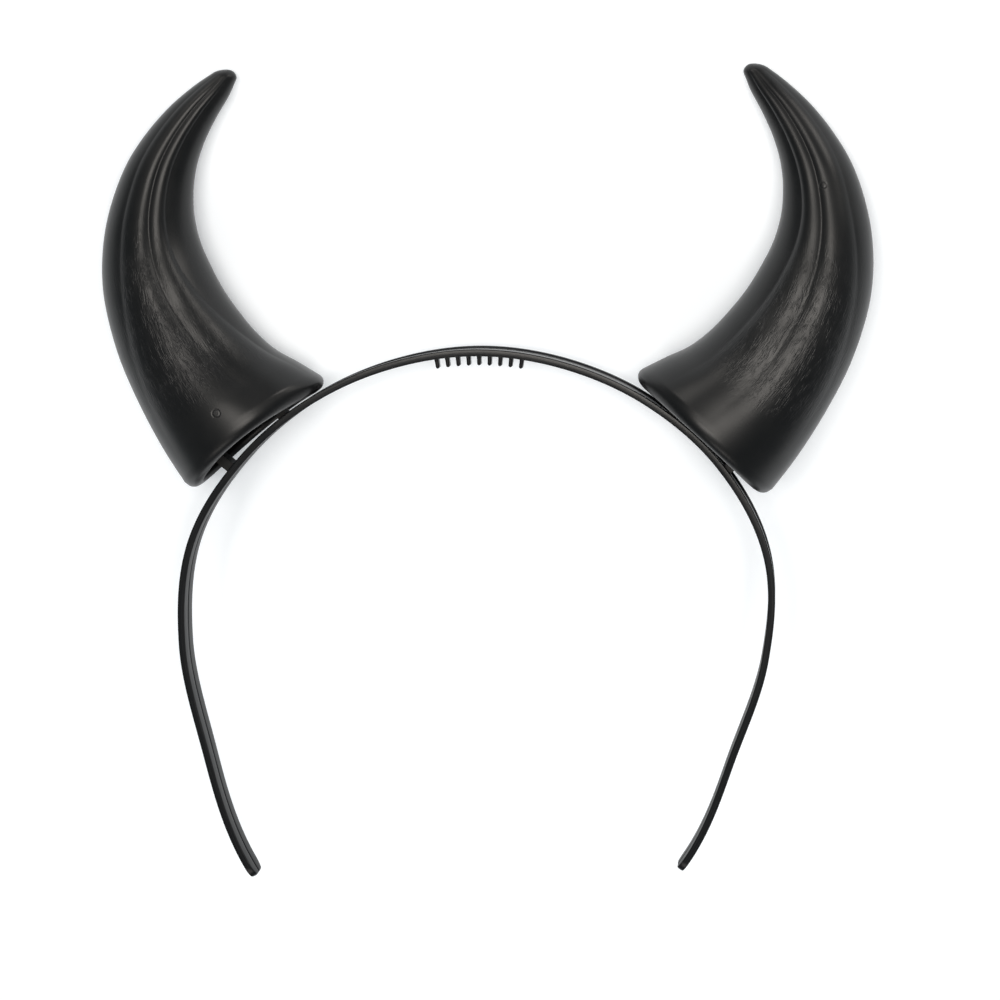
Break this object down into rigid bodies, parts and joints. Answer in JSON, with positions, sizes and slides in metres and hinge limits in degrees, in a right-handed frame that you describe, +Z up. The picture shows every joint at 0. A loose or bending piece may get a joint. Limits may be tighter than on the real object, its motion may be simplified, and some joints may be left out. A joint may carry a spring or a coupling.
{
  "type": "devil horns headband",
  "caption": "Springy plastic hair band with a short comb inside its crown and a pair of hollow, ridged devil horns that curve up and inwards from its sides.",
  "frame": {"origin": "middle of the bounding box in X and Y, on the floor that the backs of both horns lie on", "axes": "+X from the left horn to the right one as the front is seen, +Y from the open tips of the band towards the tips of the horns, +Z up, which is where the front of the horns faces"},
  "size_m": [0.1884, 0.2024, 0.0429],
  "materials": {
    "band_plastic": "glossy black moulded plastic",
    "horn_plastic_left": "satin black moulded plastic with fine wrinkles",
    "horn_plastic_right": "satin black moulded plastic with fine wrinkles",
    "mount_plastic_left": "plain black moulded plastic",
    "mount_plastic_right": "plain black moulded plastic"
  },
  "bodies": {
    "root": {"headband": "band_plastic", "horn_left": "horn_plastic_left", "horn_right": "horn_plastic_right", "horn_mount_left": "mount_plastic_left", "horn_mount_right": "mount_plastic_right"}
  },
  "joints": []
}
